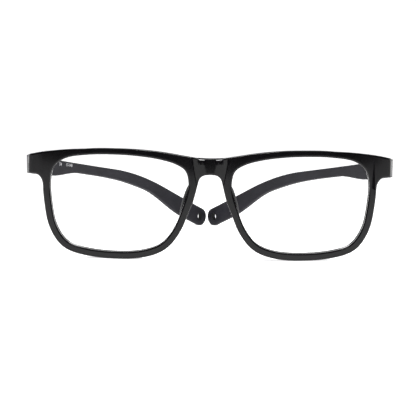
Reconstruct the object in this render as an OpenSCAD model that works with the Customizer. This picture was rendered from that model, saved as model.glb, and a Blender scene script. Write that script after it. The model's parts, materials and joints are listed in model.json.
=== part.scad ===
// Eyeglasses frame: moulded full-rim front, two folding temples on screw hinges.
// The front faces -Y, the temples run towards +Y, and Z = 0 is the surface it stands on.
// Left and right are the wearer's, so left is the +X side.

/* [Front] */
// Width of one lens opening
eye_w = 54; // [44:0.5:64]
// Height of one lens opening
eye_h = 37.6; // [31:0.1:46]
// Gap between the two lens openings
bridge_gap = 16.8; // [14:0.1:22]
// Height of the bridge at its middle
bridge_h = 6.4; // [4:0.1:8]
// How far the bridge's top lies below the brow's highest point
bridge_dip = 3.3; // [2:0.1:5]
// Height of the rim over the lens
rim_top = 2.5; // [2:0.1:4]
// Width of the rim on the temple side of the lens
rim_side = 3; // [2.2:0.1:4]
// Width of the rim on the nose side of the lens
rim_nose = 2.8; // [2.2:0.1:4]
// Height of the rim under the lens
rim_bottom = 2.85; // [2.2:0.05:4]
// Thickness of the front from face to back
front_t = 4; // [3:0.1:5]
// Radius of the front's curve seen from above
front_r = 230; // [150:5:400]
// Depth of the lens groove
groove_d = 0.7; // [0.4:0.1:1]
// Width of the lens groove
groove_w = 1.3; // [0.8:0.1:1.6]

/* [Endpieces] */
// How far an endpiece reaches past its lens opening
end_reach = 9.6; // [8:0.1:12]
// Height of an endpiece
end_h = 7.9; // [7:0.1:10]
// How far an endpiece's top lies below the brow's highest point
end_drop = 2.7; // [1:0.1:5]
// Depth of an endpiece from the front's face at its end to the temple joint
end_depth = 7.6; // [6:0.1:11]
// How much wider an endpiece is at the joint than at its face
end_flare = 1; // [0:0.1:2]

/* [Nose pads] */
// Length of a pad
pad_l = 14; // [10:0.5:16]
// Depth of a pad from its front edge to its back edge
pad_w = 5.6; // [5:0.1:8]
// Thickness of a pad
pad_t = 2.2; // [1.6:0.1:3]
// Turn of a pad away from the nose, seen from above
pad_splay = 20; // [10:1:35]
// Lean of a pad, following the nose side of the rim
pad_lean = 17; // [10:1:25]
// Radius of the peg that holds a pad
peg_r = 0.7; // [0.5:0.05:0.9]
// Length of the peg that holds a pad
peg_l = 3; // [2:0.1:4]
// Depth of the moulded block that carries a pad
pad_block = 2.4; // [1.5:0.1:4]

/* [Hinges] */
// Radius of the hinge barrels
barrel_r = 1.25; // [1.1:0.05:1.6]
// Height of each outer barrel
outer_barrel_h = 1.5; // [1.2:0.1:2]
// Height of the middle barrel
mid_barrel_h = 1.8; // [1.4:0.1:2.4]
// Radius of the hinge screw
screw_r = 0.6; // [0.5:0.05:0.7]
// Radius of the hinge screw's head
screw_head_r = 1.1; // [0.9:0.05:1.25]
// Height of the hinge screw's head
screw_head_h = 0.5; // [0.3:0.05:0.8]
// Thickness of the washers between the barrels
washer_t = 0.25; // [0.15:0.05:0.4]
// Thickness of the hinge leaves
leaf_t = 0.8; // [0.6:0.05:1.1]
// Radius of the rivets that hold the leaves
rivet_r = 0.45; // [0.35:0.05:0.55]

/* [Temples] */
// Length of a temple from the hinge to its tip, seen from above
temple_l = 137; // [110:1:168]
// Height of a temple at the joint
temple_h = 6.9; // [5.6:0.1:8]
// How far a temple's top lies below the endpiece's top at the hinge
temple_drop = 1.6; // [0.5:0.1:2]
// Height of a temple at its narrowest, behind the step in its lower edge
shaft_h = 4.1; // [3.5:0.1:5.5]
// Height of the paddle at a temple's tip
paddle_h = 8.3; // [7:0.1:10]
// Thickness of a temple at the joint
butt_t = 4.2; // [3.4:0.1:5]
// Thickness of a temple at its middle
shaft_t = 2.8; // [2.4:0.1:3.6]
// Thickness of a temple at its tip
tip_t = 2.3; // [2:0.1:3]
// Downward slope of a temple behind the hinge
temple_slope = 7.3; // [4:0.1:12]
// Inward turn of a temple's tip, seen from above
temple_bow = 12; // [6:0.5:18]
// Radius of the strap hole in a temple's tip
strap_hole_r = 1.75; // [1.2:0.05:2.5]
// Distance from the strap hole's centre to the tip's end
strap_hole_inset = 5; // [4:0.1:7]
// Height of the core wire inside a temple
core_h = 1.5; // [1:0.1:2]
// Thickness of the core wire inside a temple
core_t = 0.9; // [0.7:0.1:1.2]

/* [Fits] */
// Radial clearance of the hinge screw in the barrels that turn on it
run_gap = 0.03; // [0.01:0.01:0.08]
// Gap between stacked hinge pieces
stack_gap = 0.03; // [0.02:0.01:0.06]
// Gap around pieces seated in the mouldings
seat_gap = 0.02; // [0.01:0.01:0.05]
// Gap left at the joint when a temple is fully open
stop_gap = 0.1; // [0.05:0.05:0.3]
// Gap between the two tips as it stands
tip_gap = 0.3; // [0.3:0.1:2]
// How far past straight back a temple opens
open_splay = 8; // [2:0.5:10]

/* [Hidden] */
$fn = 48;

gloss_black = [0.06, 0.06, 0.07];
soft_grey = [0.24, 0.23, 0.27];
pad_grey = [0.26, 0.26, 0.29];
steel = [0.72, 0.73, 0.75];
nylon = [0.9, 0.9, 0.88];

// Lens opening: its box, and its outline as fractions of that box
eye_x0 = bridge_gap / 2;
eye_x1 = eye_x0 + eye_w;
eye_z0 = rim_bottom;
brow_z = eye_z0 + eye_h + rim_top;
eye_shape = [
    [0.52, 1], [0.72, 0.993], [0.89, 0.951], [0.975, 0.86], [1, 0.72],
    [0.99, 0.486], [0.955, 0.26], [0.875, 0.095], [0.75, 0.03], [0.5, 0],
    [0.31, 0.026], [0.19, 0.096], [0.106, 0.239], [0.044, 0.449], [0.008, 0.615],
    [0, 0.729], [0.022, 0.843], [0.087, 0.908], [0.212, 0.959], [0.368, 0.989]];

// Joint and hinge axis, before the origin is moved under the middle
end_x = eye_x1 + end_reach;
end_z1 = brow_z - end_drop;
end_z0 = end_z1 - end_h;
joint_y = front_y(end_x) + end_depth;
joint_x = end_x + end_flare;
inner_face = barrel_r + 0.65;
hinge_x = joint_x + 1.1 - inner_face - butt_t;
hinge_y = joint_y + barrel_r + stop_gap;
hinge_z = end_z0 + 3.1;
return_w = joint_x - hinge_x + 2.6;

// Heights of the hinge stack, measured from its middle
mid_z = mid_barrel_h / 2;
washer_z = mid_z + stack_gap;
outer_z = washer_z + washer_t + stack_gap;
stack_z = outer_z + outer_barrel_h;

// Temple in its own frame: hinge axis at the origin, length along +Y
temple_z1 = end_z1 - temple_drop;
paddle_r = paddle_h / 2;
bend_y0 = temple_l - 72;
bend_y1 = temple_l - 32;
bow_y0 = 25;
bow_y1 = temple_l - 14;
paddle_top = 2.07 * paddle_r; // Sloping upper edge over the paddle's centre, from the surface
tip_fall = temple_z1 - paddle_top - tan(temple_slope) * (temple_l - paddle_r);
tip_extra = tip_fall / ramp(temple_l - paddle_r, bend_y0, bend_y1);
tip_slope = atan(tan(temple_slope) + tip_extra);
paddle_c = [temple_l - paddle_r, paddle_r];

// Thickness and height of a temple at stations along it
thickness_rows = [[8, butt_t], [34, shaft_t], [bend_y0, shaft_t], [bow_y1, tip_t]];
height_rows = [
    [12, temple_h], [36, shaft_h], [bend_y0 - 15, shaft_h], [bend_y1 - 16, shaft_h + 1.2],
    [bend_y1 + 14, paddle_h / cos(tip_slope)]];

// Fold of the temples as it stands, measured from straight back
tip_corner = [inner_x(temple_l), temple_l];
rest_fold = asin((hinge_x - tip_gap / 2) / norm(tip_corner)) + atan(tip_corner[0] / tip_corner[1]);
back_y = hinge_y + outer_x(temple_l) * sin(rest_fold) + temple_l * cos(rest_fold);
mid_y = back_y / 2;

// Stretch that stays at 0 up to a, bends evenly to b, and then rises one for one
function ramp(y, a, b) = y < a ? 0 : y < b ? pow(y - a, 2) / (2 * (b - a)) : (b - a) / 2 + y - b;

// Value at y of a row of [y, value] stations, joined by smooth steps
function blend(t) = t * t * (3 - 2 * t);
function station(rows, y, i = 0) =
    i >= len(rows) - 1 ? rows[len(rows) - 1][1] :
    y <= rows[i][0] ? rows[i][1] :
    y < rows[i + 1][0] ?
        rows[i][1] + (rows[i + 1][1] - rows[i][1])
            * blend((y - rows[i][0]) / (rows[i + 1][0] - rows[i][0])) :
    station(rows, y, i + 1);

// Where the front's face lies, behind its foremost point, at x
function front_y(x) = front_r - sqrt(front_r * front_r - x * x);

// Point on the centripetal spline from b to c
function knot(p, q) = sqrt(norm(q - p));
function mix(p, q, s, t, k) = s == t ? p : p * (t - k) / (t - s) + q * (k - s) / (t - s);
function spline_at(a, b, c, d, t) =
    let (k1 = knot(a, b), k2 = k1 + knot(b, c), k3 = k2 + knot(c, d), k = k1 + (k2 - k1) * t)
    let (p = mix(a, b, 0, k1, k), q = mix(b, c, k1, k2, k), r = mix(c, d, k2, k3, k))
    let (u = mix(p, q, 0, k2, k), v = mix(q, r, k1, k3, k))
    mix(u, v, k1, k2, k);
function smooth_loop(p, n) =
    let (m = len(p))
    [for (i = [0:m - 1]) for (j = [0:n - 1])
        spline_at(p[(i + m - 1) % m], p[i], p[(i + 1) % m], p[(i + 2) % m], j / n)];
function smooth_line(p, n) =
    let (m = len(p), q = concat([2 * p[0] - p[1]], p, [2 * p[m - 1] - p[m - 2]]))
    concat([for (i = [1:m - 1]) for (j = [0:n - 1])
        spline_at(q[i - 1], q[i], q[i + 1], q[i + 2], j / n)], [p[m - 1]]);

// Outward unit normal of a clockwise loop at point i
function unit(v) = v / norm(v);
function loop_normal(p, i) =
    let (m = len(p), d = unit(p[(i + 1) % m] - p[(i + m - 1) % m]))
    [-d[1], d[0]];

// Lens outline, and the same outline grown by the rim or by the groove
eye_loop = smooth_loop([for (p = eye_shape) [eye_x0 + p[0] * eye_w, eye_z0 + p[1] * eye_h]], 5);
function rim_width(n) =
    let (side = n[0] > 0 ? rim_side : rim_nose, level = n[1] > 0 ? rim_top : rim_bottom)
    side * n[0] * n[0] + level * n[1] * n[1];
rim_loop = [for (i = [0:len(eye_loop) - 1])
    let (n = loop_normal(eye_loop, i)) eye_loop[i] + n * rim_width(n)];
groove_loop = [for (i = [0:len(eye_loop) - 1]) eye_loop[i] + loop_normal(eye_loop, i) * groove_d];

// Upper edge of the front, from the middle of the bridge to the endpiece's corner
function eye_x(u) = eye_x0 + u * eye_w;
function eye_z(v) = eye_z0 + v * eye_h;
arch_z = brow_z - bridge_dip - bridge_h;
brow_line = smooth_line([
    [0, brow_z - bridge_dip], [eye_x(-0.07), brow_z - 3.2], [eye_x(0.02), brow_z - 2.5],
    [eye_x(0.19), brow_z - 1.05], [eye_x(0.37), brow_z - 0.2], [eye_x(0.54), brow_z],
    [eye_x(0.72), brow_z - 0.3], [eye_x(0.89), brow_z - 0.8],
    [end_x - 6.2, (brow_z - 1.15 + end_z1) / 2], [end_x - 2.2, end_z1]], 4);
end_line = concat(
    [for (a = [90:-15:0]) [end_x - 1.7 + 1.7 * cos(a), end_z1 - 1.8 + 1.7 * sin(a)]],
    [for (a = [0:-15:-90]) [end_x - 0.8 + 0.8 * cos(a), end_z0 + 0.8 + 0.8 * sin(a)]]);
fillet_w = end_reach - 3.18 - rim_side;
fillet_h = 4.5;
end_fillet = [for (a = [90:10:180])
    [end_x - 3.1 + fillet_w * cos(a), end_z0 - fillet_h + fillet_h * sin(a)]];
nose_line = smooth_line([
    [eye_x0 + 1.4, eye_z(0.33)], [eye_x0 - 0.1, eye_z(0.417)], [eye_x0 - 1.8, eye_z(0.52)],
    [eye_x0 - 3, eye_z(0.637)], [eye_x0 - 3.65, min(eye_z(0.708), arch_z - 3.2)],
    [eye_x0 - 4.35, arch_z - 1.6], [eye_x0 - 5.8, arch_z - 0.4], [0, arch_z]], 4);

module half_outline() {
    polygon(rim_loop);
    polygon(concat(brow_line, end_line, end_fillet,
        [[eye_x1 + rim_side / 2, end_z0 - 5.5], [eye_x(0.9), eye_z(0.75)], [eye_x(0.5), eye_z(0.9)],
        [eye_x(0.06), eye_z(0.72)], [eye_x(0.1), eye_z(0.33)]], nose_line));
}

// Plate bent to the front's curve, between two depths behind its face
module curved_slab(depth0, depth1) {
    translate([0, front_r, -1])
        difference() {
            cylinder(r = front_r - depth0, h = brow_z + 10, $fn = 360);
            cylinder(r = front_r - depth1, h = brow_z + 10, $fn = 360);
        }
}

// Outline drawn in X and Z, given depth along Y
module upright(y0, y1) {
    translate([0, y1, 0])
        rotate([90, 0, 0])
            linear_extrude(y1 - y0) children();
}

// Moves the whole frame so that its origin is under its middle
module placed() {
    translate([0, -mid_y, 0]) children();
}

module other_side() {
    mirror([1, 0, 0]) children();
}

module endpiece_return() {
    intersection() {
        linear_extrude(end_z1 + 5)
            polygon([
                [joint_x - return_w, joint_y], [eye_x1 + 0.4, front_y(eye_x1) + front_t - 1],
                [end_x - 5, front_y(end_x - 5) + 1], [end_x, front_y(end_x) + 0.6],
                [end_x + 0.35, front_y(end_x) + 1.6], [joint_x, joint_y]]);
        union() {
            upright(0, joint_y + 1)
                intersection() {
                    half_outline();
                    translate([eye_x1 + 0.4, end_z0]) square([end_reach - 1.3, end_h + 5]);
                }
            upright(0, joint_y + 1)
                translate([end_x - 5, end_z0])
                    polygon([[0, 0.3], [3, 0], [5 + end_flare, 0.1],
                        [5 + end_flare, end_h - 0.95], [3, end_h - 0.3], [0, end_h - 0.1]]);
        }
    }
}

// The nose pad's own frame: Y back along the pad, Z up along it, X through it
module pad_place() {
    translate([eye_x0 - 0.2, front_y(eye_x0) + front_t + pad_block + 0.1, eye_z(0.53)])
        rotate([0, -pad_lean, 0])
            rotate([0, 0, -pad_splay]) children();
}

module pad_peg(gap) {
    translate([-0.2, 1, 0])
        rotate([90, 0, 0])
            cylinder(r = peg_r + gap, h = peg_l + 1 + gap);
}

module pad_body(gap) {
    rotate([90, 0, 90])
        translate([0, 0, -pad_t / 2 - gap])
            linear_extrude(pad_t + 2 * gap)
                union() {
                    for (z = [(pad_l - pad_w) / 2, (pad_w - pad_l) / 2])
                        translate([pad_w / 2, z]) circle(r = pad_w / 2 + gap);
                    translate([-gap, (pad_w - pad_l) / 2])
                        square([pad_w + 2 * gap, pad_l - pad_w]);
                }
}

module pad_carrier() {
    intersection() {
        upright(0, 30)
            difference() {
                half_outline();
                polygon(eye_loop);
                translate([0, eye_z(0.76)]) square([eye_x1, eye_h]);
                translate([0, -eye_h + eye_z(0.39)]) square([eye_x1, eye_h]);
                translate([eye_x(0.2), 0]) square([eye_w, eye_h]);
                translate([0, 0]) square([eye_x0 - 4.2, eye_h]);
            }
        curved_slab(front_t - 0.5, front_t + pad_block);
    }
}

module half_front() {
    difference() {
        union() {
            intersection() {
                upright(-1, 40)
                    difference() {
                        half_outline();
                        polygon(eye_loop);
                    }
                curved_slab(0, front_t);
            }
            endpiece_return();
            pad_carrier();
        }
        intersection() {
            upright(-1, 40) polygon(groove_loop);
            curved_slab((front_t - groove_w) / 2, (front_t + groove_w) / 2);
        }
        pad_place() {
            pad_body(seat_gap);
            pad_peg(seat_gap);
        }
        hinge_place() {
            front_leaf_plate(seat_gap);
            front_rivet_pair(seat_gap);
        }
    }
}

module front_frame() {
    color(gloss_black)
        placed() {
            half_front();
            other_side() half_front();
        }
}

module left_nose_pad() {
    color(pad_grey)
        placed()
            pad_place() {
                pad_body(0);
                pad_peg(0);
            }
}

module right_nose_pad() {
    other_side() left_nose_pad();
}

// The hinge's own frame: its axis is Z, the endpiece's rear face lies in front of it
module hinge_place() {
    translate([hinge_x, hinge_y, hinge_z]) children();
}

leaf_y = joint_y - hinge_y;
leaf_x1 = barrel_r + 2.8;
leaf_z = 2.7;

module front_leaf_plate(gap) {
    translate([-barrel_r - gap, leaf_y - leaf_t - gap, -leaf_z - gap])
        cube([barrel_r + leaf_x1 + 2 * gap, leaf_t + 2 * gap, 2 * (leaf_z + gap)]);
}

module rivet(length, gap) {
    cylinder(r = rivet_r + gap, h = length + gap);
    cylinder(r1 = rivet_r * 1.8 + gap, r2 = rivet_r + gap, h = leaf_t / 2);
}

module front_rivet_pair(gap) {
    for (z = [-1.6, 1.6])
        translate([barrel_r + 1.7, leaf_y, z])
            rotate([90, 0, 0])
                rivet(3.4, gap);
}

module barrel(z0, z1) {
    translate([0, 0, z0]) cylinder(r = barrel_r, h = z1 - z0);
}

module left_front_hinge() {
    color(steel)
        placed()
            hinge_place()
                difference() {
                    union() {
                        front_leaf_plate(0);
                        for (z = [outer_z, -stack_z]) {
                            barrel(z, z + outer_barrel_h);
                            translate([-barrel_r + 0.2, leaf_y - 0.1, z])
                                cube([2 * barrel_r - 0.4, -leaf_y, outer_barrel_h]);
                        }
                    }
                    translate([0, 0, -washer_z]) cylinder(r = screw_r + run_gap, h = 2 * stack_z);
                    translate([0, 0, -stack_z - 1]) cylinder(r = screw_r + 0.01, h = 2 * stack_z);
                    front_rivet_pair(0.01);
                }
}

module right_front_hinge() {
    other_side() left_front_hinge();
}

module left_hinge_screw() {
    color(steel)
        placed()
            hinge_place()
                difference() {
                    union() {
                        translate([0, 0, -stack_z]) cylinder(r = screw_r, h = 2 * stack_z + 0.1);
                        translate([0, 0, stack_z + stack_gap])
                            cylinder(r = screw_head_r, h = screw_head_h);
                    }
                    translate([-2, -0.12, stack_z + stack_gap + screw_head_h - 0.25])
                        cube([4, 0.24, 1]);
                }
}

module right_hinge_screw() {
    other_side() left_hinge_screw();
}

module left_hinge_washers() {
    color(nylon)
        placed()
            hinge_place()
                for (z = [washer_z, -washer_z - washer_t])
                    translate([0, 0, z])
                        difference() {
                            cylinder(r = barrel_r, h = washer_t);
                            translate([0, 0, -1]) cylinder(r = screw_r + run_gap, h = 3);
                        }
}

module right_hinge_washers() {
    other_side() left_hinge_washers();
}

module left_front_rivets() {
    color(steel)
        placed()
            hinge_place() front_rivet_pair(0);
}

module right_front_rivets() {
    other_side() left_front_rivets();
}

// Temple outlines: plan positions of its faces, and heights of its edges
function bow_x(y) = tan(temple_bow) * ramp(y, bow_y0, bow_y1);
function inner_x(y) = inner_face - bow_x(y);
function outer_x(y) = inner_x(y) + station(thickness_rows, y);
function top_z(y) =
    temple_z1 - tan(temple_slope) * y - tip_extra * ramp(y, bend_y0, bend_y1);
function bottom_z(y) = top_z(y) - station(height_rows, y);
temple_stations = concat([for (y = [-4:4:bend_y0]) y], [for (y = [bend_y0 + 3:3:bow_y1]) y]);

// Places a temple's own frame at the hinge, folded as it stands
module temple_place() {
    translate([hinge_x, hinge_y, 0])
        rotate([0, 0, rest_fold]) children();
}

function mid_x(y) = (inner_x(y) + outer_x(y)) / 2;
function mid_edge_z(y) = (top_z(y) + bottom_z(y)) / 2;
function stations(y0, y1) =
    concat([y0], [for (y = temple_stations) if (y > y0 && y < y1) y], [y1]);

module strip(inner, outer) {
    polygon(concat(inner, [for (i = [len(outer) - 1:-1:0]) outer[i]]));
}

module side_profile() {
    ys = [for (y = temple_stations) if (y < paddle_c[0] - 2) y];
    polygon(concat(
        [for (y = ys) [y, top_z(y)]],
        [for (a = [0:7.5:180])
            paddle_c + paddle_r * [sin(tip_slope + a), cos(tip_slope + a)]],
        [for (i = [len(ys) - 1:-1:0]) [ys[i], bottom_z(ys[i])]]));
}

// Outline drawn in Y and Z, given width along X
module sideways(x0, x1) {
    translate([x0, 0, 0])
        rotate([90, 0, 90])
            linear_extrude(x1 - x0) children();
}

core_y0 = 13;
core_y1 = temple_l - 24;

module core_solid(gap) {
    half = core_t / 2 + gap;
    ys = stations(core_y0 - gap, core_y1 + gap);
    intersection() {
        translate([0, 0, -5])
            linear_extrude(temple_z1 + 10)
                strip([for (y = ys) [mid_x(y) - half, y]], [for (y = ys) [mid_x(y) + half, y]]);
        sideways(-60, 20)
            polygon(concat(
                [for (y = [core_y0 - 1:4:core_y1 + 4])
                    [y, mid_edge_z(y) + core_h / 2 + gap]],
                [for (y = [core_y0 - 1 + 4 * floor((core_y1 + 5 - core_y0) / 4):-4:core_y0 - 2])
                    [y, mid_edge_z(y) - core_h / 2 - gap]]));
    }
}

temple_leaf_y0 = -0.8;
temple_leaf_y1 = 10.5;
temple_leaf_z = 1.8;

// The leaf, or its seat, which runs on inward and forward out of the temple
module temple_leaf_plate(gap, inward, forward) {
    translate([inner_face - gap - inward, temple_leaf_y0 - gap - forward,
        hinge_z - temple_leaf_z - gap])
        cube([leaf_t + 2 * gap + inward,
            temple_leaf_y1 - temple_leaf_y0 + 2 * gap + forward,
            2 * (temple_leaf_z + gap)]);
}

module temple_rivet_pair(gap) {
    for (y = [4.2, 8.2])
        translate([inner_face, y, hinge_z])
            rotate([0, 90, 0])
                rivet(2.4, gap);
}

module strap_hole() {
    hole_y = temple_l - strap_hole_inset;
    translate([mid_x(hole_y), hole_y, paddle_r + (strap_hole_inset - paddle_r) * tan(tip_slope)])
        rotate([0, 0, temple_bow])
            rotate([0, 90, 0])
                translate([0, 0, -10])
                    cylinder(r = strap_hole_r, h = 20);
}

module left_temple() {
    ys = stations(-4, temple_l + 1);
    color(soft_grey)
        placed()
            temple_place()
                difference() {
                    intersection() {
                        translate([0, 0, -5])
                            linear_extrude(temple_z1 + 10)
                                strip([for (y = ys) [inner_x(y), y]], [for (y = ys) [outer_x(y), y]]);
                        sideways(-60, 20) side_profile();
                    }
                    rotate([0, 0, open_splay])
                        translate([-20, -barrel_r - 20, -5])
                            cube([60, 20, temple_z1 + 20]);
                    core_solid(seat_gap);
                    temple_leaf_plate(seat_gap, 1, 2);
                    temple_rivet_pair(seat_gap);
                    strap_hole();
                }
}

module right_temple() {
    other_side() left_temple();
}

module left_temple_core() {
    color(steel)
        placed()
            temple_place() core_solid(0);
}

module right_temple_core() {
    other_side() left_temple_core();
}

module left_temple_hinge() {
    color(steel)
        placed()
            temple_place()
                difference() {
                    union() {
                        temple_leaf_plate(0, 0, 0);
                        translate([0, 0, hinge_z]) {
                            barrel(-mid_z, mid_z);
                            translate([0, -0.8, -mid_z])
                                cube([inner_face + 0.1, 1.6, mid_barrel_h]);
                        }
                    }
                    translate([0, 0, hinge_z - 5]) cylinder(r = screw_r + run_gap, h = 10);
                    temple_rivet_pair(0.01);
                }
}

module right_temple_hinge() {
    other_side() left_temple_hinge();
}

module left_temple_rivets() {
    color(steel)
        placed()
            temple_place() temple_rivet_pair(0);
}

module right_temple_rivets() {
    other_side() left_temple_rivets();
}

front_frame();
left_nose_pad();
right_nose_pad();
left_front_hinge();
right_front_hinge();
left_temple_hinge();
right_temple_hinge();
left_hinge_screw();
right_hinge_screw();
left_hinge_washers();
right_hinge_washers();
left_front_rivets();
right_front_rivets();
left_temple_rivets();
right_temple_rivets();
left_temple();
right_temple();
left_temple_core();
right_temple_core();
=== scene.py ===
# %% [markdown]
# # An eyeglasses frame, finished piece by piece
# The CAD model holds every size, joint and fit. This lesson dresses it: the pieces that a hand
# would polish or tumble get softer edges and finer shapes, and each finish is a procedural
# material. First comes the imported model, which is loaded as a fixed frame in metres.

# %% Load the frame
import json
import math
import bmesh
import bpy
from mathutils import Matrix, Vector


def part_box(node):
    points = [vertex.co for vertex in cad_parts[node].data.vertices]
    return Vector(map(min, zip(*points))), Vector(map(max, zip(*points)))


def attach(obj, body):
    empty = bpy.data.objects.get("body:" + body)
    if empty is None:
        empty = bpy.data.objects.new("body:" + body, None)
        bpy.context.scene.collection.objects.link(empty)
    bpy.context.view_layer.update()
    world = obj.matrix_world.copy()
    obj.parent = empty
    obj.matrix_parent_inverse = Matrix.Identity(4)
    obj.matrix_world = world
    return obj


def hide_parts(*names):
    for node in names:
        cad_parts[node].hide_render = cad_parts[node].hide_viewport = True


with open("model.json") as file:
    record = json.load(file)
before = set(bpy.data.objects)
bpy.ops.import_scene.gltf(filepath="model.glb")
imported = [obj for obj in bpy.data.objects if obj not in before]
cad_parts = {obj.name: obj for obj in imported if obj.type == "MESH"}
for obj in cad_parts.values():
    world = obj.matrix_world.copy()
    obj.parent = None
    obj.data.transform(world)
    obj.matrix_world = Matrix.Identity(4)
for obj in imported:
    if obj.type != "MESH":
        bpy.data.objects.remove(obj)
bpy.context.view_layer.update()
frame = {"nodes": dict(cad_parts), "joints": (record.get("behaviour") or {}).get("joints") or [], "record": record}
MM = 0.001
print("nodes:", sorted(frame["nodes"]))

# %% [markdown]
# ## A few small helpers
# A CAD node arrives as loose triangles. To shape one further, a copy is merged into one closed
# skin first, and flat areas that the CAD cut into triangles are left as they are, because a
# bevel only touches the real edges. Each finished piece gets smooth shading between faces that
# nearly line up, and sharp shading elsewhere.

# %% Copy a node, and turn a bmesh into a piece
def merged_copy(node, near=0.004):
    bm = bmesh.new()
    bm.from_mesh(frame["nodes"][node].data)
    bmesh.ops.remove_doubles(bm, verts=bm.verts, dist=near * MM)
    bmesh.ops.dissolve_degenerate(bm, edges=bm.edges, dist=near * MM)
    return bm


def make_piece(bm, name, material, body, slot, *stands_for, smooth=38):
    bmesh.ops.recalc_face_normals(bm, faces=bm.faces)
    mesh = bpy.data.meshes.new(name)
    bm.to_mesh(mesh)
    bm.free()
    piece = bpy.data.objects.new(name, mesh)
    bpy.context.scene.collection.objects.link(piece)
    for face in mesh.polygons:
        face.use_smooth = True
    mesh.set_sharp_from_angle(angle=math.radians(smooth))
    mesh.materials.append(material)
    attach(piece, body)
    if stands_for:
        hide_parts(*stands_for)
    print(f"{name}: {len(mesh.polygons)} faces")
    return piece


def sharp_edges(bm, angle, keep=lambda middle: True):
    return [e for e in bm.edges if len(e.link_faces) == 2
            and e.calc_face_angle(0) > math.radians(angle)
            and keep((e.verts[0].co + e.verts[1].co) / 2 / MM)]


def round_edges(bm, edges, width, segments=3):
    return bmesh.ops.bevel(bm, geom=edges, offset=width * MM, offset_type="OFFSET",
                           affect="EDGES", segments=segments, profile=0.5, material=-1,
                           clamp_overlap=False, loop_slide=True)


print("helpers ready")

# %% [markdown]
# ## Shader groups that several finishes share
# Moulded and tumbled plastic is never one flat colour. Under a lens it has a fine grain, faint
# clouds of tone, hairline polishing marks, and slightly brighter edges where hands and cloth
# have rubbed it. Each of these effects is one group, and each finish uses it with its own
# values. The grain comes first: a noise with small pits makes its height, and a much larger
# noise makes the clouds.

# %% Group: fine grain as a height, and clouds as a mask
def new_group(name, inputs, outputs):
    group = bpy.data.node_groups.new(name, "ShaderNodeTree")
    for kind, label, value in inputs:
        socket = group.interface.new_socket(label, in_out="INPUT", socket_type=kind)
        socket.default_value = value
    for kind, label in outputs:
        group.interface.new_socket(label, in_out="OUTPUT", socket_type=kind)
    return group, group.nodes.new("NodeGroupInput"), group.nodes.new("NodeGroupOutput")


def node(tree, kind, **values):
    made = tree.nodes.new(kind)
    for key, value in values.items():
        if hasattr(made, key):
            setattr(made, key, value)
        else:
            made.inputs[key.replace("_", " ")].default_value = value
    return made


grain_group, g_in, g_out = new_group(
    "moulded_grain",
    [("NodeSocketVector", "Place", (0, 0, 0)), ("NodeSocketFloat", "Grain size", 6000),
     ("NodeSocketFloat", "Cloud size", 90)],
    [("NodeSocketFloat", "Height"), ("NodeSocketFloat", "Clouds")])
fine = node(grain_group, "ShaderNodeTexNoise", Detail=3, Roughness=0.6)
pits = node(grain_group, "ShaderNodeTexVoronoi", feature="SMOOTH_F1")
both = node(grain_group, "ShaderNodeMath", operation="MULTIPLY_ADD")
both.inputs[1].default_value = 0.5
clouds = node(grain_group, "ShaderNodeTexNoise", Detail=4, Roughness=0.55, Distortion=0.4)
spread = node(grain_group, "ShaderNodeMapRange", From_Min=0.35, From_Max=0.65)
for socket, target in [("Place", fine.inputs["Vector"]), ("Grain size", fine.inputs["Scale"]),
                       ("Place", pits.inputs["Vector"]), ("Grain size", pits.inputs["Scale"]),
                       ("Place", clouds.inputs["Vector"]), ("Cloud size", clouds.inputs["Scale"])]:
    grain_group.links.new(g_in.outputs[socket], target)
grain_group.links.new(pits.outputs["Distance"], both.inputs[0])
grain_group.links.new(fine.outputs["Fac"], both.inputs[2])
grain_group.links.new(both.outputs[0], g_out.inputs["Height"])
grain_group.links.new(clouds.outputs["Fac"], spread.inputs["Value"])
grain_group.links.new(spread.outputs["Result"], g_out.inputs["Clouds"])
print("group", grain_group.name)

# %% [markdown]
# Rubbed edges come next. How sharply the surface turns tells the edges from the flats, and a
# soft noise breaks the mask up, because hands and cloth never rub evenly. The mask could also be
# painted by hand, but then it would not follow a later change of shape.

# %% Group: rubbed edges
wear_group, w_in, w_out = new_group(
    "rubbed_edges",
    [("NodeSocketVector", "Place", (0, 0, 0)), ("NodeSocketFloat", "Start", 0.52),
     ("NodeSocketFloat", "End", 0.62), ("NodeSocketFloat", "Patch size", 350)],
    [("NodeSocketFloat", "Mask")])
shape = node(wear_group, "ShaderNodeNewGeometry")
turn = node(wear_group, "ShaderNodeMapRange")
patches = node(wear_group, "ShaderNodeTexNoise", Detail=3)
ease = node(wear_group, "ShaderNodeMapRange", From_Min=0.3, From_Max=0.7, To_Min=0.35, To_Max=1)
mask = node(wear_group, "ShaderNodeMath", operation="MULTIPLY", use_clamp=True)
wear_group.links.new(shape.outputs["Pointiness"], turn.inputs["Value"])
wear_group.links.new(w_in.outputs["Start"], turn.inputs["From Min"])
wear_group.links.new(w_in.outputs["End"], turn.inputs["From Max"])
wear_group.links.new(w_in.outputs["Place"], patches.inputs["Vector"])
wear_group.links.new(w_in.outputs["Patch size"], patches.inputs["Scale"])
wear_group.links.new(patches.outputs["Fac"], ease.inputs["Value"])
wear_group.links.new(turn.outputs["Result"], mask.inputs[0])
wear_group.links.new(ease.outputs["Result"], mask.inputs[1])
wear_group.links.new(mask.outputs[0], w_out.inputs["Mask"])
print("group", wear_group.name)

# %% [markdown]
# Polishing leaves hairlines that all run one way. A noise that is stretched along one axis gives
# them. They work on the gloss and, faintly, on the height.

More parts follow.
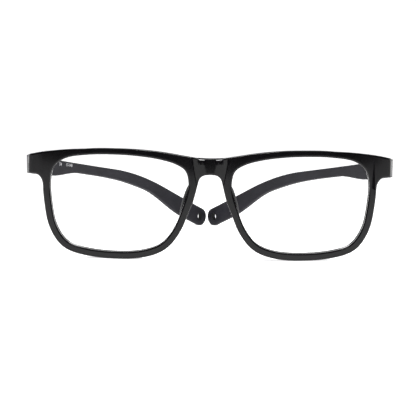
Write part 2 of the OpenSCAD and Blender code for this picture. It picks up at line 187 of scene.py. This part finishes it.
# %% Group: hairlines
hair_group, h_in, h_out = new_group(
    "hairlines",
    [("NodeSocketVector", "Place", (0, 0, 0)), ("NodeSocketVector", "Stretch", (200, 4000, 4000))],
    [("NodeSocketFloat", "Height")])
drawn = node(hair_group, "ShaderNodeMapping")
lines = node(hair_group, "ShaderNodeTexNoise", Scale=1, Detail=5, Roughness=0.7)
hair_group.links.new(h_in.outputs["Place"], drawn.inputs["Vector"])
hair_group.links.new(h_in.outputs["Stretch"], drawn.inputs["Scale"])
hair_group.links.new(drawn.outputs["Vector"], lines.inputs["Vector"])
hair_group.links.new(lines.outputs["Fac"], h_out.inputs["Height"])
print("group", hair_group.name)

# %% [markdown]
# ## The finishes
# The front is glossy black acetate-like plastic, the temples are a softer blue-grey plastic with
# a satin touch, the nose pads are silicone, and the hinges are steel. Every finish is built by
# one function from the same three groups, so that they belong together, and each has its own
# colour, gloss, grain and wear.

# %% A finish from the shared groups
def finish(name, dark, light, rough, rough_more, grain, bump, worn, stretch, metal=0,
           specular=0.5, cloud=90, wear=(0.53, 0.63)):
    material = bpy.data.materials.new(name)
    material.use_nodes = True
    tree = material.node_tree
    shader = tree.nodes["Principled BSDF"]
    shader.inputs["Metallic"].default_value = metal
    shader.inputs["Specular IOR Level"].default_value = specular
    place = node(tree, "ShaderNodeTexCoord")
    skin = node(tree, "ShaderNodeGroup", node_tree=grain_group)
    skin.inputs["Grain size"].default_value = grain
    skin.inputs["Cloud size"].default_value = cloud
    edge = node(tree, "ShaderNodeGroup", node_tree=wear_group)
    edge.inputs["Start"].default_value, edge.inputs["End"].default_value = wear
    hair = node(tree, "ShaderNodeGroup", node_tree=hair_group)
    hair.inputs["Stretch"].default_value = stretch
    for user in (skin, edge, hair):
        tree.links.new(place.outputs["Object"], user.inputs["Place"])
    tone = node(tree, "ShaderNodeMix", data_type="RGBA")
    tone.inputs["A"].default_value, tone.inputs["B"].default_value = (*dark, 1), (*light, 1)
    rubbed = node(tree, "ShaderNodeMix", data_type="RGBA")
    rubbed.inputs["B"].default_value = (*worn, 1)
    tree.links.new(skin.outputs["Clouds"], tone.inputs["Factor"])
    tree.links.new(tone.outputs["Result"], rubbed.inputs["A"])
    tree.links.new(edge.outputs["Mask"], rubbed.inputs["Factor"])
    tree.links.new(rubbed.outputs["Result"], shader.inputs["Base Color"])
    gloss = node(tree, "ShaderNodeMapRange", To_Min=rough, To_Max=rough + rough_more)
    tree.links.new(hair.outputs["Height"], gloss.inputs["Value"])
    tree.links.new(gloss.outputs["Result"], shader.inputs["Roughness"])
    height = node(tree, "ShaderNodeMath", operation="MULTIPLY_ADD")
    height.inputs[1].default_value = 0.4
    tree.links.new(hair.outputs["Height"], height.inputs[0])
    tree.links.new(skin.outputs["Height"], height.inputs[2])
    relief = node(tree, "ShaderNodeBump", Strength=bump, Distance=0.00002)
    tree.links.new(height.outputs[0], relief.inputs["Height"])
    tree.links.new(relief.outputs["Normal"], shader.inputs["Normal"])
    print("finish", name)
    return material

# %% [markdown]
# Now the finishes are mixed. Each has a dark and a light tone, a roughness and how far it
# varies, the fineness and depth of its grain, the tone of its rubbed edges, and the direction of
# its hairlines. The front is the glossiest plastic. The walls of the strap holes take the dullest
# and darkest finish, which is painted shade for the inside of the bores.

# %% Mix the finishes
gloss_black = finish("gloss_black_plastic", (0.0022, 0.0020, 0.0026), (0.0042, 0.0038, 0.0048),
                     0.05, 0.06, 3000, 0.06, (0.010, 0.0095, 0.012), (150, 3000, 3000),
                     specular=0.27)
soft_grey = finish("satin_blue_grey_plastic", (0.0105, 0.0101, 0.0135), (0.0155, 0.0150, 0.0198),
                   0.5, 0.16, 5200, 0.45, (0.03, 0.029, 0.037), (900, 260, 2600),
                   specular=0.16)
# painted shade: a darker, duller black for the strap holes' walls, so that the bores look shaded inside
bore_painted_shade = finish("bore_painted_shade_plastic", (0.0030, 0.0028, 0.0034), (0.005, 0.0048, 0.0056),
                    0.6, 0.2, 5000, 0.4, (0.01, 0.01, 0.012), (900, 900, 900), specular=0.2)
pad_silicone = finish("smoky_silicone", (0.005, 0.0048, 0.006), (0.008, 0.0077, 0.0095),
                      0.34, 0.2, 4200, 0.3, (0.016, 0.0155, 0.019), (2000, 2000, 2000),
                      specular=0.16)
hinge_steel = finish("turned_steel", (0.50, 0.50, 0.51), (0.62, 0.62, 0.63),
                     0.20, 0.22, 7000, 0.35, (0.8, 0.8, 0.8), (6000, 6000, 500), metal=1)
screw_steel = finish("polished_screw_steel", (0.58, 0.57, 0.55), (0.70, 0.69, 0.67),
                     0.16, 0.2, 8000, 0.3, (0.85, 0.84, 0.82), (500, 7000, 7000), metal=1)
washer_nylon = finish("ivory_nylon", (0.62, 0.61, 0.57), (0.74, 0.73, 0.69),
                      0.38, 0.15, 5000, 0.4, (0.85, 0.84, 0.8), (2000, 2000, 2000))
core_steel = finish("drawn_wire", (0.34, 0.34, 0.35), (0.46, 0.46, 0.47),
                    0.25, 0.25, 6000, 0.3, (0.6, 0.6, 0.6), (3000, 200, 3000), metal=1)

# %% [markdown]
# ## The front
# The real front is moulded, bent to a slight curve, and then tumbled in a drum with wooden pegs
# until every edge is round and the faces shine. The CAD front already has the exact outline,
# lens grooves and seats, so a copy of it is tumbled here. Its curved face is pushed back by the
# width of the rounding, and then brought forward again in a few insets that follow a quarter
# circle. Insets give an even strip of faces all the way round, which a bevel of so many small
# triangles would not.

# %% Round the face into its sides
FRONT_R = 230                              # mm, the bend of the front seen from above
ROUND, STEPS = 0.6, 5                      # mm, radius of the tumbled edge, and its strips
front_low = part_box("front_frame")[0] / MM  # the lowest X, Y and Z of the front


def depth(p):
    """How far a point lies behind the front's curved face, in mm."""
    return FRONT_R - math.hypot(p.x, p.y - front_low.y - FRONT_R)


def set_depth(faces, value):
    for v in {v for f in faces for v in f.verts}:
        reach = math.sqrt((FRONT_R - value) ** 2 - (v.co.x / MM) ** 2)
        v.co.y = (front_low.y + FRONT_R - reach) * MM


front = merged_copy("front_frame", near=0.03)
bmesh.ops.remove_doubles(front, verts=[v for v in front.verts if depth(v.co / MM) < 0.06],
                         dist=0.15 * MM)
face = [f for f in front.faces if all(depth(v.co / MM) < 0.06 for v in f.verts)]
set_depth(face, ROUND)
for step in range(STEPS):
    a, b = (math.radians(90 * k / STEPS) for k in (step, step + 1))
    bmesh.ops.inset_region(front, faces=face, use_boundary=True, use_even_offset=True,
                           thickness=ROUND * (math.cos(a) - math.cos(b)) * MM)
    set_depth(face, ROUND * (1 - math.sin(b)))
bmesh.ops.inset_region(front, faces=face, use_boundary=True, use_even_offset=True,
                       thickness=0.1 * MM)
print("front:", len(front.verts), "points,", len(face), "faces on the curved face")

# %% [markdown]
# ## The bridge
# The bridge is not simply a bar. Between two slanting creases its middle stands level with the
# brow, and its flanks fall back towards the creases, so that each catches light of its own. The
# surface is cut along a few slanting lines with `bisect_plane`, and then only the points between
# the creases are eased back.

# %% Sculpt the bridge between its creases
CREASE_TOP, CREASE_LOW = Vector((7.1, 0, 38.9)), Vector((5.7, 0, 31.4))
SLANTS = (0, 0.2, 0.7, 1.2, 1.7, 2.2, 2.7, 3.2, 3.7, 4.2, 4.8)  # mm inside the crease
FLANK_DEPTH, FLANK_WIDTH = 0.62, 4.4       # mm, how far a flank falls back, and how wide it is
BRIDGE_FOOT = 29                           # mm, lower than any part of the bridge
along = (CREASE_TOP - CREASE_LOW).normalized()


def inside_crease(p, side):
    """How far p lies inside the crease of that side, in mm."""
    offset = Vector((p.x * side, 0, p.z)) - CREASE_LOW
    return offset.z * along.x - offset.x * along.z


def cut(bm, point, across, keep):
    """Cuts the chosen faces along a plane."""
    near = {f for f in bm.faces if keep(f.calc_center_median() / MM)}
    parts = near | {g for f in near for g in (*f.verts, *f.edges)}
    bmesh.ops.bisect_plane(bm, geom=list(parts), dist=0.01 * MM, plane_co=point * MM,
                           plane_no=across)


for side in (1, -1):
    across = Vector((along.z * side, 0, -along.x))
    for step in SLANTS:
        point = Vector((CREASE_LOW.x * side, 0, CREASE_LOW.z)) - across * step
        cut(front, point, across,
            lambda p: -0.3 < p.x * side < 20 and p.z > BRIDGE_FOOT and depth(p) < 1)
for height in range(30, 38):
    cut(front, Vector((0, 0, height)), Vector((0, 0, 1)),
        lambda p: abs(p.x) < 8 and depth(p) < 1)
for v in front.verts:
    p = v.co / MM
    inside = inside_crease(p, 1 if p.x > 0 else -1)
    if inside > 0.05 and depth(p) < 1 and p.z > BRIDGE_FOOT:
        fall = FLANK_DEPTH * max(0, 1 - inside / FLANK_WIDTH) ** 1.2
        v.co.y += fall * (1 - depth(p) / 1.2) * MM
print("bridge sculpted:", len(front.verts), "points")

# %% [markdown]
# The bridge's upper edge carries two small slanted facets beside the middle, as a polishing
# wheel leaves them, and they catch the light from above. They are cut along straight lines too,
# and what lies above the lower line leans back.

# %% Cut the two facets
FACET_X = (1.8, 2.3, 3.4, 4.5, 5.0)        # mm from the middle: start, full, centre, full, end
FACET_LOW, FACET_TOP = 1.25, 0.65          # mm below the crest
FACET_LEAN, FACET_EASE = 0.8, 0.5          # mm back for each mm up, and mm of run-in at each end
crest = max(v.co.z for v in front.verts if abs(v.co.x) < FACET_X[2] * MM) / MM
for height in (crest - FACET_LOW, crest - FACET_TOP):
    cut(front, Vector((0, 0, height)), Vector((0, 0, 1)),
        lambda p: abs(p.x) < 6.5 and p.z > 36 and depth(p) < 1.2)
for x in FACET_X:
    for side in (1, -1):
        cut(front, Vector((x * side, 0, 0)), Vector((1, 0, 0)),
            lambda p: 0 < p.x * side < 6.5 and p.z > 37 and depth(p) < 1.2)
for v in front.verts:
    p = v.co / MM
    share = max(0, min(1, (abs(p.x) - FACET_X[0]) / FACET_EASE,
                       (FACET_X[-1] - abs(p.x)) / FACET_EASE))
    if share and p.z > crest - FACET_LOW and depth(p) < 1.5:
        v.co.y += share * (p.z - crest + FACET_LOW) * FACET_LEAN * (1 - depth(p) / 3) * MM
print("facets cut under a crest at", round(crest, 2))

# %% [markdown]
# ## The endpieces
# Past the lens openings the face turns back at a soft corner, and then wraps round to the side
# of the endpiece in a quarter circle. The points are moved straight back, less and less towards
# the hinge, so that the hinge's seat stays where the CAD put it.

# %% Wrap the endpieces round
TURN_X, TURN = 65.8, 0.10                  # mm where the face turns back, and its slope
WRAP_X, WRAP_R = 69.4, 3.55                # mm where it wraps round, and the wrap's radius
WRAP_END = 5.2                             # mm, how deep behind the face the move still reaches
SOFTEN = 1.4                               # mm over which the turn begins
UPRIGHTS = (65.8, 66.5, 67.2, 69.4, 70, 70.5, 71, 71.4, 71.8, 72.1, 72.4, 72.65, 72.85)
for side in (1, -1):
    for x in UPRIGHTS:
        cut(front, Vector((side * x, 0, 36)), Vector((side, 0, 0)), lambda p: p.x * side > 60)
for v in front.verts:
    p = v.co / MM
    behind = p.y - front_low.y - FRONT_R + math.sqrt(FRONT_R ** 2 - p.x ** 2)
    beyond, wrap = abs(p.x) - TURN_X, min(abs(p.x) - WRAP_X, WRAP_R)
    if beyond > 0 and behind < WRAP_END:
        back = (beyond - 0.5 * min(beyond, SOFTEN)) * TURN
        if wrap > 0:
            back += WRAP_R - math.sqrt(WRAP_R ** 2 - wrap ** 2)
        v.co.y += back * (1 - behind / WRAP_END) * MM
print("endpieces wrapped")

# %% [markdown]
# ## The pad blocks
# The two blocks behind the rims that carry the nose pads are tumbled as well. Only their edges
# that stick out are rounded, and the lens grooves and hinge seats stay crisp. A bevel is right
# here, because these edges are few and long.

# %% Round the pad blocks
RIM_BACK, BLOCK_X = 4.15, 20               # mm, just behind the rims, and past both blocks
block = [e for e in sharp_edges(front, 40, lambda p: depth(p) > RIM_BACK and abs(p.x) < BLOCK_X)
         if e.is_convex]
round_edges(front, block, 0.5, 3)
print("pad block edges:", len(block))
make_piece(front, "front", gloss_black, "front", "front_black", "front_frame", smooth=32)

# %% [markdown]
# ## The temples
# A temple is a bar of a softer plastic moulded round a steel wire. Its long edges are well
# rounded, because they lie against the head. The edges of the hinge's seat and of the strap hole
# stay crisp, so they are left out of the bevel. First come the places that the work needs, taken
# from the frame's joints and mounts.

# %% Find the hinge and the strap hole
left_hinge = next(j for j in frame["joints"] if j["name"] == "left_temple_fold")
left_hole = next(m for m in frame["record"]["mounts"] if m["name"] == "left_strap_hole")
HINGE = Vector(left_hinge["pos_m"]) / MM   # mm, the left hinge's axis at its middle height
HOLE = Vector(left_hole["pos_m"]) / MM     # mm, the left strap hole's centre
AXIS = Vector(left_hole["axis"])           # the direction of the hole
print("hinge at", HINGE, "and strap hole at", HOLE)

# %% [markdown]
# The cavity round the wire lies inside the temple as a second skin, so the outer skin is found
# first, as the largest island of joined faces. The faces inside the strap hole take a second,
# darker material, which is painted shade for the inside of the bore.

# %% Round a temple
def islands(bm):
    """The groups of joined faces, the largest first."""
    left, found = set(bm.faces), []
    while left:
        group, edge = set(), {left.pop()}
        while edge:
            group |= edge
            edge = {g for f in edge for e in f.edges for g in e.link_faces} - group
        left -= group
        found.append(group)
    return sorted(found, key=len, reverse=True)


SEAT_REACH, HOLE_REACH = 13, 2.9           # mm, from the hinge and the hole to the last edge left


def temple(name, side):
    bm = merged_copy(f"{name}_temple", near=0.02)
    skin = {e for f in islands(bm)[0] for e in f.edges}
    hinge, hole = (Vector((v.x * side, v.y, v.z)) for v in (HINGE, HOLE))

    def in_seat(p):
        return ((p - hinge).length < SEAT_REACH and abs(p.z - hinge.z) < 2.4
                and (hinge.x - p.x) * side > -2.9)

    def is_outer(p):
        return (p - hole).length >= HOLE_REACH and not in_seat(p)

    outer = [e for e in sharp_edges(bm, 40, is_outer) if e in skin]
    print(name, "temple:", len(outer), "outer edges")
    round_edges(bm, outer, 0.55, 4)
    piece = make_piece(bm, f"{name}_arm_moulding", soft_grey, f"{name}_arm", "temple_soft_touch",
                       f"{name}_temple")
    # the strap hole's walls take the darker finish, which is painted shade for the inside of the bore
    piece.data.materials.append(bore_painted_shade)
    walls = 0
    for face in piece.data.polygons:
        near = (face.center / MM - hole).length < 2.6
        if near and abs(face.normal.dot((AXIS.x * side, AXIS.y, 0))) < 0.8:
            face.material_index = 1
            walls += 1
    print("bore faces given painted shade:", walls)
    return piece


temple("left", 1)
temple("right", -1)

# %% [markdown]
# ## The size figures
# Frames carry their sizes in small pale print inside the temples: the lens width, the gap
# between the lenses and the temple's length, all in millimetres. They stand in two groups inside
# the right temple, and the length stands again inside the left one. Pad printing lays down a
# thin film of ink, so each group is a text curve made into a film-thin mesh on the inner face.

# %% Print the figures
# how far a temple is folded in, and how steeply it slopes down
FOLD, SLOPE = math.radians(24.78), math.radians(7.3)
print_white = finish("pale_print", (0.50, 0.50, 0.52), (0.62, 0.62, 0.64), 0.5, 0.2, 5000, 0.3,
                     (0.7, 0.7, 0.72), (2000, 2000, 2000))
FIGURE_SIZE, FILM = 1.9 * MM, 0.015 * MM   # metres, height of the figures, half their thickness
TO_INNER_FACE = 1.9                        # mm, from the hinge's axis out to the inner face


def figures(name, side, words, along, height, which="size"):
    curve = bpy.data.curves.new(f"{name}_figures", "FONT")
    curve.body, curve.size = words, FIGURE_SIZE
    curve.align_x, curve.align_y = "CENTER", "CENTER"
    curve.extrude = FILM
    flat = bpy.data.objects.new(f"{name}_flat", curve)
    bpy.context.scene.collection.objects.link(flat)
    mesh = bpy.data.meshes.new_from_object(flat)
    bpy.data.objects.remove(flat)
    bm = bmesh.new()
    bm.from_mesh(mesh)
    bmesh.ops.remove_doubles(bm, verts=bm.verts, dist=0.002 * MM)
    # stood upright, tilted with the temple's slope, and turned to face the wearer's head
    stand = Matrix.Rotation(math.radians(90), 4, "X")
    tilt = Matrix.Rotation(-SLOPE * side, 4, "Y")
    turn_in = Matrix.Rotation(side * (FOLD - math.radians(90)), 4, "Z")
    place = Vector((HINGE.x * side, HINGE.y, HINGE.z + height))
    run = Vector((-math.sin(FOLD) * side, math.cos(FOLD), 0))
    inward = Vector((-math.cos(FOLD) * side, -math.sin(FOLD), 0))
    spot = place + run * along - inward * TO_INNER_FACE + inward * FILM / MM
    move = Matrix.Translation(spot * MM) @ turn_in @ tilt @ stand
    bmesh.ops.transform(bm, verts=bm.verts, matrix=move)
    return make_piece(bm, f"{name}_{which}_figures", print_white, f"{name}_arm",
                      "temple_soft_touch")


figures("right", -1, "54", 19.5, -0.9)
figures("right", -1, "17-140", 26.5, -1.6, "width")
figures("left", 1, "140", 13, -0.9)

# %% [markdown]
# ## The nose pads
# A silicone pad is a soft lens-shaped pillow on a peg. It starts as a sphere, is squashed to the
# pad's thickness, depth and length, and made fuller than an ellipsoid. It leans with the rim and
# is splayed towards the back, so that its contact side follows the nose.

# %% Make the pads
PAD = (2.1, 5.5, 13.9)                     # mm, thickness, depth, length
PAD_FRONT = Vector((8.2, front_low.y + 6.653, 22.778))  # mm, the middle of its front edge
PAD_LEAN, PAD_SPLAY = math.radians(17), math.radians(20)
PAD_FULLNESS = 0.82                        # 1 is an ellipsoid, and less is fuller
PEG_R, PEG_L = 0.7, 3.6                    # mm
PAD_AT = (Matrix.Translation(PAD_FRONT * MM) @ Matrix.Rotation(-PAD_LEAN, 4, "Y")
          @ Matrix.Rotation(-PAD_SPLAY, 4, "Z"))


def pad(name, side):
    bm = bmesh.new()
    bmesh.ops.create_uvsphere(bm, u_segments=40, v_segments=24, radius=1)
    for v in bm.verts:
        full = [math.copysign(abs(c) ** PAD_FULLNESS, c) for c in v.co]
        v.co = Vector(full) * 0.5
        v.co = Vector((v.co.x * PAD[0], v.co.y * PAD[1] + PAD[1] / 2, v.co.z * PAD[2])) * MM
    into_block = Matrix.Translation(Vector((-0.2, -1.15, 0)) * MM)
    bmesh.ops.create_cone(bm, cap_ends=True, segments=24, radius1=PEG_R * MM, radius2=PEG_R * MM,
                          depth=PEG_L * MM,
                          matrix=into_block @ Matrix.Rotation(math.radians(90), 4, "X"))
    bmesh.ops.transform(bm, matrix=PAD_AT, verts=bm.verts)
    if side < 0:
        bmesh.ops.scale(bm, vec=(-1, 1, 1), verts=bm.verts)
    return make_piece(bm, f"{name}_pad", pad_silicone, "front", "pad_silicone", f"{name}_nose_pad")


pad("left", 1)
pad("right", -1)

# %% [markdown]
# ## The hinges
# Barrels, leaves, screws, washers and rivets keep their CAD shapes, which are the ones that
# turn in each other, and take their finishes here. The wires lie hidden inside the temples.

# %% Finish the CAD nodes that stay
def dress(ending, material):
    for side in ("left", "right"):
        made = frame["nodes"][f"{side}_{ending}"]
        for place in made.material_slots:
            place.material = material
        print(made.name, "takes", material.name)


for ending, material in [("front_hinge", hinge_steel), ("temple_hinge", hinge_steel),
                         ("hinge_screw", screw_steel), ("hinge_washers", washer_nylon),
                         ("front_rivets", screw_steel), ("temple_rivets", screw_steel),
                         ("temple_core", core_steel)]:
    dress(ending, material)

# %% [markdown]
# ## The studio
# The frame stands on a seamless white sweep, a sheet that curves up behind it, so that floor and
# background are one even pale field. The paper glows a little, which keeps it even without
# stronger lamps.

# %% The sweep
def studio_sweep():
    bm = bmesh.new()
    bmesh.ops.create_grid(bm, x_segments=1, y_segments=1, size=1.5)
    back = [e for e in bm.edges if all(v.co.y > 1 for v in e.verts)]
    up = bmesh.ops.extrude_edge_only(bm, edges=back)["geom"]
    top = [g for g in up if isinstance(g, bmesh.types.BMVert)]
    bmesh.ops.translate(bm, vec=(0, 0, 2), verts=top)
    fold = [e for e in bm.edges if all(v.co.y > 1 and abs(v.co.z) < 0.1 for v in e.verts)]
    bmesh.ops.bevel(bm, geom=fold, offset=0.8, offset_type="OFFSET", affect="EDGES", segments=16,
                    profile=0.5, material=-1)
    mesh = bpy.data.meshes.new("sweep")
    bm.to_mesh(mesh)
    bm.free()
    made = bpy.data.objects.new("sweep", mesh)
    bpy.context.scene.collection.objects.link(made)
    return made


paper = bpy.data.materials.new("white_paper")
paper.use_nodes = True
paper_tree = paper.node_tree
paper_shader = paper_tree.nodes["Principled BSDF"]
paper_shader.inputs["Roughness"].default_value = 0.9
paper_shader.inputs["Emission Strength"].default_value = 0.65
paper_tone = node(paper_tree, "ShaderNodeTexNoise", Scale=6, Detail=2)
paper_mix = node(paper_tree, "ShaderNodeMix", data_type="RGBA")
paper_mix.inputs["A"].default_value = (0.93, 0.93, 0.93, 1)
paper_mix.inputs["B"].default_value = (0.96, 0.96, 0.96, 1)
paper_tree.links.new(paper_tone.outputs["Fac"], paper_mix.inputs["Factor"])
paper_tree.links.new(paper_mix.outputs["Result"], paper_shader.inputs["Base Color"])
paper_shader.inputs["Emission Color"].default_value = (1, 1, 1, 1)
studio_sweep().data.materials.append(paper)
print("sweep laid")

# %% [markdown]
# Soft boxes above and at the sides draw the light lines along the rounded edges of the black
# front. A small strip hangs where the two facets on the bridge mirror it.

# %% The lights
def soft_box(name, place, aim, size, power):
    lamp = bpy.data.lights.new(name, "AREA")
    lamp.shape, lamp.size, lamp.size_y, lamp.energy = "RECTANGLE", size[0], size[1], power
    made = bpy.data.objects.new(name, lamp)
    made.location = place
    made.rotation_euler = (Vector(aim) - Vector(place)).to_track_quat("-Z", "Y").to_euler()
    made.visible_camera = False
    bpy.context.scene.collection.objects.link(made)
    print(name, "of", power, "W")


soft_box("top_box", (0, -0.36, 0.85), (0, -0.05, 0), (0.9, 0.55), 2.2)
soft_box("strip_box", (0, -0.29, 0.84), (0, -0.07, 0.04), (0.30, 0.10), 5)
soft_box("left_box", (0.30, 0.02, 0.10), (0, -0.05, 0.03), (0.10, 0.22), 0.5)
soft_box("right_box", (-0.30, 0.02, 0.10), (0, -0.05, 0.03), (0.10, 0.22), 0.5)

# %% [markdown]
# A dark cloth lies on the floor in front. Only reflections see it, so that the upper part of the
# glossy face stays black while the lower rims mirror the pale floor.

# %% The dark cloth
cloth = bpy.data.materials.new("black_cloth")
cloth.use_nodes = True
cloth_shader = cloth.node_tree.nodes["Principled BSDF"]
cloth_shader.inputs["Base Color"].default_value = (0.02, 0.02, 0.02, 1)
cloth_shader.inputs["Roughness"].default_value = 1
CLOTH_Y = -1.60                            # metres, its middle


def dark_cloth():
    bm = bmesh.new()
    bmesh.ops.create_grid(bm, x_segments=4, y_segments=2, size=1,
                          matrix=Matrix.Translation((0, CLOTH_Y, 0.001)))
    mesh = bpy.data.meshes.new("dark_cloth")
    bm.to_mesh(mesh)
    bm.free()
    made = bpy.data.objects.new("dark_cloth", mesh)
    made.visible_camera = made.visible_diffuse = made.visible_shadow = False
    bpy.context.scene.collection.objects.link(made)
    mesh.materials.append(cloth)
    print("cloth laid at y =", CLOTH_Y, "m")


dark_cloth()

# %% [markdown]
# The room itself is dim, so that flat black faces look black, but where a view looks past the
# paper it sees plain white.

# %% The room
world = bpy.data.worlds.new("room")
world.use_nodes = True
room = world.node_tree.nodes["Background"]
room.inputs["Color"].default_value = (0.06, 0.06, 0.063, 1)
backdrop = node(world.node_tree, "ShaderNodeBackground")
seen = node(world.node_tree, "ShaderNodeLightPath")
either = node(world.node_tree, "ShaderNodeMixShader")
world.node_tree.links.new(seen.outputs["Is Camera Ray"], either.inputs["Fac"])
world.node_tree.links.new(room.outputs[0], either.inputs[1])
world.node_tree.links.new(backdrop.outputs[0], either.inputs[2])
world.node_tree.links.new(either.outputs[0], world.node_tree.nodes["World Output"].inputs[0])
backdrop.inputs["Color"].default_value = (1, 1, 1, 1)
bpy.context.scene.world = world
bpy.context.scene.view_settings.view_transform = "Standard"
print("room", world.name)

# %% [markdown]
# ## The camera
# A long lens half a metre away sees the frame almost straight on and a little from above, with
# little perspective.

# %% The camera
DISTANCE, FIELD = 500, 160.2               # mm to the front's foremost point, and its field there
target = Vector((0, front_low.y, 20))
down, turn, roll = (math.radians(a) for a in (5.1, 0.6, 0.75))
away = Vector((-math.cos(down) * math.sin(turn), -math.cos(down) * math.cos(turn), math.sin(down)))
lens = bpy.data.cameras.new("camera")
lens.sensor_width, lens.lens = 36, 36 * DISTANCE / FIELD
lens.shift_x, lens.shift_y = -0.0044, 0.0035
camera = bpy.data.objects.new("camera", lens)
camera.location = (target + away * DISTANCE) * MM
aimed = (-away).to_track_quat("-Z", "Y").to_matrix() @ Matrix.Rotation(roll, 3, "Z")
camera.rotation_euler = aimed.to_euler()
bpy.context.scene.collection.objects.link(camera)
bpy.context.scene.camera = camera
print("camera at", [round(c, 4) for c in camera.location])
